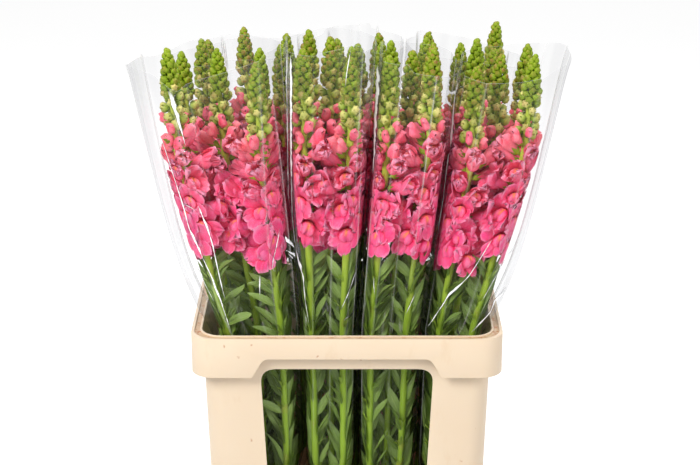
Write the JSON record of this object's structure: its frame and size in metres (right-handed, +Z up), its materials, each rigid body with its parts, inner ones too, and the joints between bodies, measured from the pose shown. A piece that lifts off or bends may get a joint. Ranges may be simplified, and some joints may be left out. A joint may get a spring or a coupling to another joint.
{
  "type": "flower container with sleeved bunches of cut snapdragons",
  "caption": "Bunches of pink snapdragons in clear film sleeves, standing in water in a rectangular plastic flower container with a window in its front.",
  "frame": {"origin": "middle of the flat base of the container, on the surface it stands on", "axes": "+Z up, +X along the container's long side, -Y towards the front window"},
  "size_m": [0.5463, 0.3458, 0.8325],
  "materials": {
    "moulded_plastic": "satin",
    "water": "gloss",
    "rubber": "matte",
    "clear_film": "gloss",
    "foliage": "satin",
    "petals": "satin"
  },
  "bodies": {
    "root": {"container": "moulded_plastic", "water": "water", "band_1": "rubber", "sleeve_1": "clear_film", "stems_1": "foliage", "raceme_1_1": "petals", "raceme_1_2": "petals", "raceme_1_3": "petals", "raceme_1_4": "petals", "raceme_1_5": "petals", "band_2": "rubber", "sleeve_2": "clear_film", "stems_2": "foliage", "raceme_2_1": "petals", "raceme_2_2": "petals", "raceme_2_3": "petals", "raceme_2_4": "petals", "raceme_2_5": "petals", "band_3": "rubber", "sleeve_3": "clear_film", "stems_3": "foliage", "raceme_3_1": "petals", "raceme_3_2": "petals", "raceme_3_3": "petals", "raceme_3_4": "petals", "raceme_3_5": "petals", "band_4": "rubber", "sleeve_4": "clear_film", "stems_4": "foliage", "raceme_4_1": "petals", "raceme_4_2": "petals", "raceme_4_3": "petals", "raceme_4_4": "petals", "raceme_4_5": "petals", "band_5": "rubber", "sleeve_5": "clear_film", "stems_5": "foliage", "raceme_5_1": "petals", "raceme_5_2": "petals", "raceme_5_3": "petals", "raceme_5_4": "petals", "raceme_5_5": "petals", "band_6": "rubber", "sleeve_6": "clear_film", "stems_6": "foliage", "raceme_6_1": "petals", "raceme_6_2": "petals", "raceme_6_3": "petals", "raceme_6_4": "petals", "raceme_6_5": "petals", "band_7": "rubber", "sleeve_7": "clear_film", "stems_7": "foliage", "raceme_7_1": "petals", "raceme_7_2": "petals", "raceme_7_3": "petals", "raceme_7_4": "petals", "raceme_7_5": "petals"}
  },
  "joints": []
}
